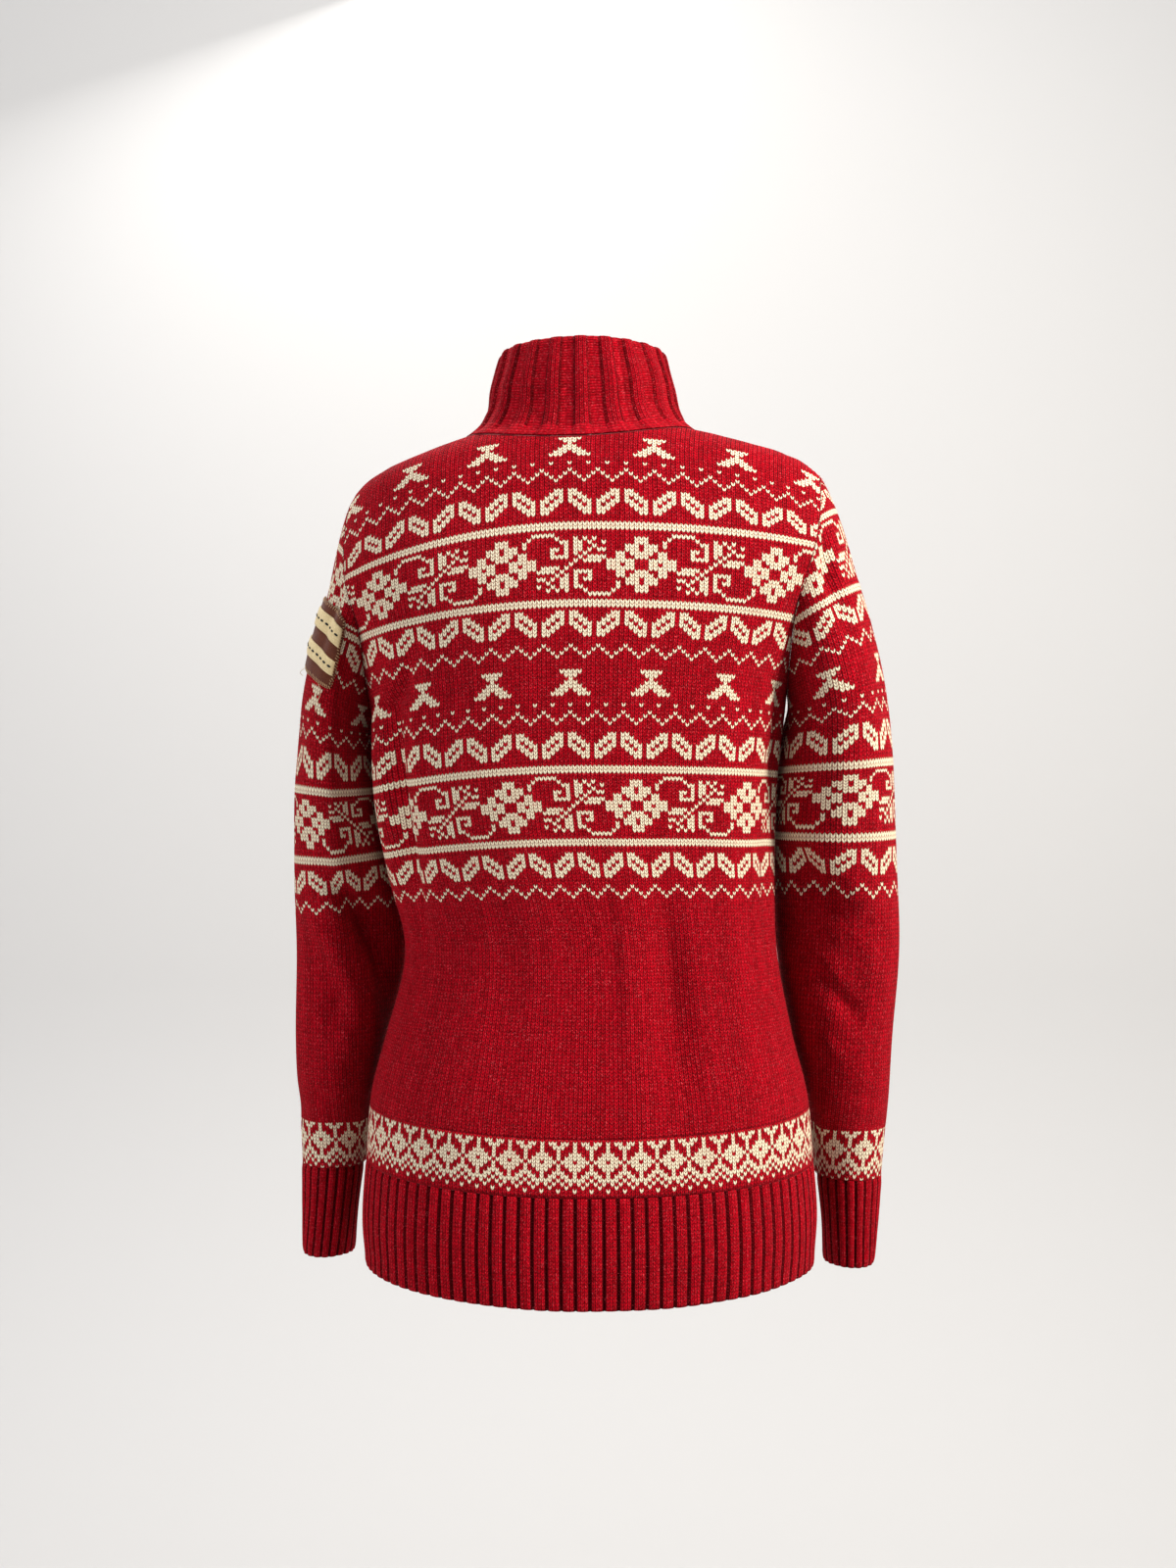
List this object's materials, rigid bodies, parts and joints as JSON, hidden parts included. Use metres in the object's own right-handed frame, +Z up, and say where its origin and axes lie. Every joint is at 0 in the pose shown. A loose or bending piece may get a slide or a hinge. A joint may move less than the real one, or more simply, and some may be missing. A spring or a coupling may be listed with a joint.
{
  "type": "zip cardigan",
  "caption": "Knitted wool cardigan with patterned bands, high ribbed funnel collar, set-in sleeves, ribbed hem and cuffs and a front zip, held hollow as if worn",
  "frame": {"origin": "middle of the neck opening at the height of the shoulder seams' inner ends, where the wearer's shoulders carry the garment", "axes": "+Z up, +Y the way the wearer faces, -X the wearer's left. The picture looks along +Y at the back"},
  "size_m": [0.4928, 0.2538, 0.7367],
  "materials": {
    "back_wool": "crimson and cream stranded wool knit",
    "front_wool": "crimson and cream stranded wool knit",
    "sleeve_wool": "crimson and cream stranded wool knit",
    "rib_wool": "crimson ribbed wool knit",
    "collar_wool": "crimson broad-ribbed wool knit, double",
    "zip_tape": "woven tape",
    "zip_teeth": "aged brass",
    "zip_metal": "aged brass",
    "patch_felt": "brown wool felt",
    "patch_stripe": "cream twill appliqué"
  },
  "bodies": {
    "garment": {"back": "back_wool", "front_left": "front_wool", "front_right": "front_wool", "back_rib": "rib_wool", "front_left_rib": "rib_wool", "front_right_rib": "rib_wool", "sleeve_left": "sleeve_wool", "sleeve_right": "sleeve_wool", "cuff_left": "rib_wool", "cuff_right": "rib_wool", "collar": "collar_wool", "zip_tape_left": "zip_tape", "zip_tape_right": "zip_tape", "zip_chain": "zip_teeth", "zip_slider": "zip_metal", "sleeve_patch": "patch_felt", "patch_stripe_upper": "patch_stripe", "patch_stripe_lower": "patch_stripe"},
    "pull_tab": {"zip_pull": "zip_metal"}
  },
  "joints": [
    {"name": "pull_swing", "type": "hinge", "parent": "garment", "child": "pull_tab", "pos_m": [0.00261, 0.0645, 0.05004], "axis": [0.9945, -0.1045, 0], "range_deg": [0, 150]}
  ]
}
